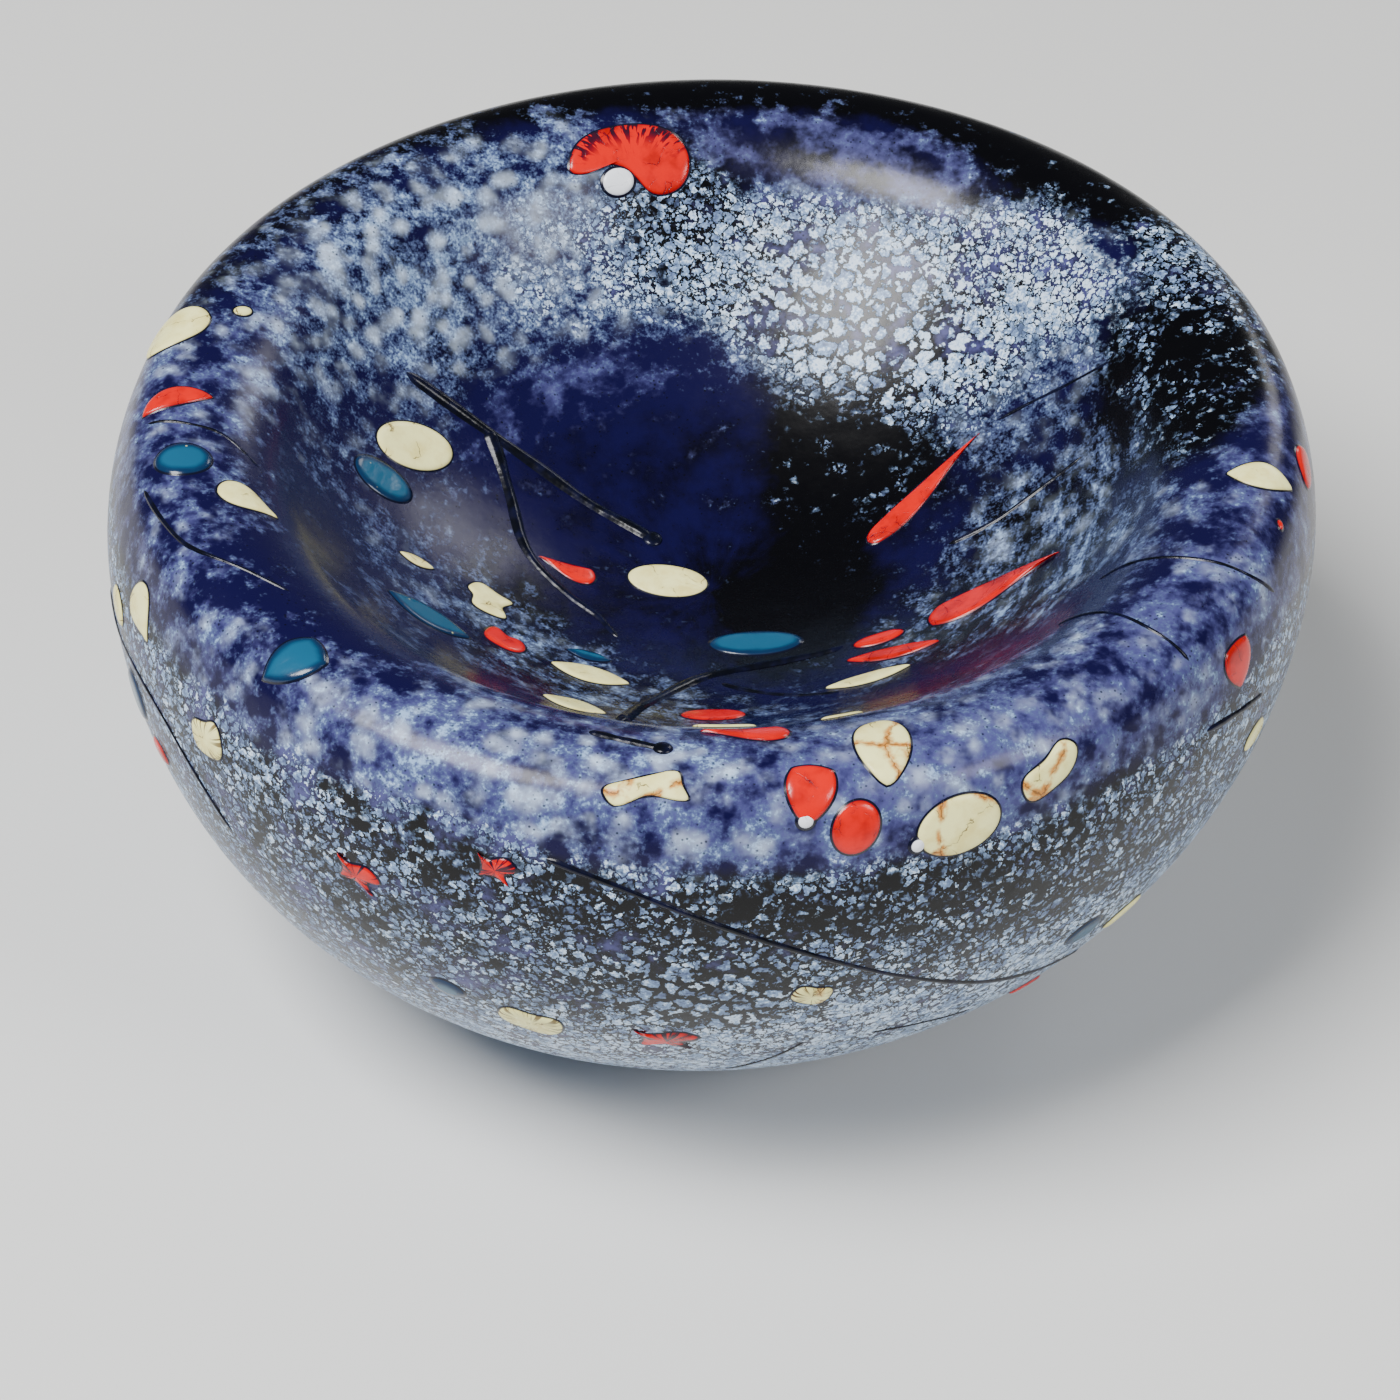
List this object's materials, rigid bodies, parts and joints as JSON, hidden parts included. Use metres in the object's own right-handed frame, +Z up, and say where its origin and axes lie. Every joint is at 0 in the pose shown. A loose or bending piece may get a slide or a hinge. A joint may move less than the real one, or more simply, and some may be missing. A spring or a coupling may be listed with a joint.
{
  "type": "art glass bowl",
  "caption": "Low rounded glass bowl with a fat rolled lip, a shallow well and a ground foot, inlaid with coloured glass slices and dark glass trails.",
  "frame": {"origin": "middle of the ground foot, on the surface that the bowl stands on, on the axis of the blow", "axes": "+Z up along the axis of the blow, out of the well; +X to the right and +Y away from the side with the bone-shaped slice; the bowl's longer way lies midway between +X and +Y"},
  "size_m": [0.22, 0.2201, 0.111],
  "materials": {
    "base_glass": "gloss",
    "foot_seal": "ground, satin",
    "casing_glass": "soft gloss",
    "cream_glass": "gloss",
    "brown_glass": "gloss",
    "red_glass": "gloss",
    "turquoise_glass": "gloss",
    "dark_glass": "gloss"
  },
  "bodies": {
    "root": {"base_glass": "base_glass", "brown_fan_front_belly": "brown_glass", "colour_casing": "casing_glass", "cream_back_chips": "cream_glass", "cream_bean_front_lip": "cream_glass", "cream_bone_front_lip": "cream_glass", "cream_drop_left_lip": "cream_glass", "cream_drop_left_side": "cream_glass", "cream_fan_front_belly": "cream_glass", "cream_fan_left_side": "cream_glass", "cream_leaf_front_well": "cream_glass", "cream_leaf_inner_lip": "cream_glass", "cream_leaf_right_rim": "cream_glass", "cream_leaf_right_well": "cream_glass", "cream_notched_well": "cream_glass", "cream_oval_left_rim": "cream_glass", "cream_oval_left_well": "cream_glass", "cream_oval_well_floor": "cream_glass", "cream_round_front_lip": "cream_glass", "cream_side_chips": "cream_glass", "cream_small_slivers": "cream_glass", "cream_veined_front_lip": "cream_glass", "dark_back_trails": "dark_glass", "dark_drop_front_lip": "dark_glass", "dark_threads_belly": "dark_glass", "dark_threads_right_well": "dark_glass", "dark_threads_rim": "dark_glass", "dark_trail_front_belly": "dark_glass", "dark_trail_front_well": "dark_glass", "dark_trail_left_side": "dark_glass", "dark_trail_left_well": "dark_glass", "dark_trail_right_side": "dark_glass", "dark_trail_well_floor": "dark_glass", "foot_seal": "foot_seal", "red_back_chips": "red_glass", "red_cap_far_rim": "red_glass", "red_fin_left_rim": "red_glass", "red_heart_well": "red_glass", "red_leaf_right_well": "red_glass", "red_long_drop_right_well": "red_glass", "red_long_leaf_right_well": "red_glass", "red_oval_front_lip": "red_glass", "red_oval_inner_lip": "red_glass", "red_oval_right_rim": "red_glass", "red_shield_front_lip": "red_glass", "red_shield_right_rim": "red_glass", "red_sliver_right_well": "red_glass", "red_small_slivers": "red_glass", "red_streaked_chips": "red_glass", "red_wedge_front_lip": "red_glass", "red_wedge_left_well": "red_glass", "turquoise_back_chips": "turquoise_glass", "turquoise_belly_ovals": "turquoise_glass", "turquoise_fan_left_lip": "turquoise_glass", "turquoise_leaf_left_well": "turquoise_glass", "turquoise_oval_left_rim": "turquoise_glass", "turquoise_oval_left_side": "turquoise_glass", "turquoise_oval_left_well": "turquoise_glass", "turquoise_oval_well_floor": "turquoise_glass", "turquoise_sliver_front_well": "turquoise_glass"}
  },
  "joints": []
}
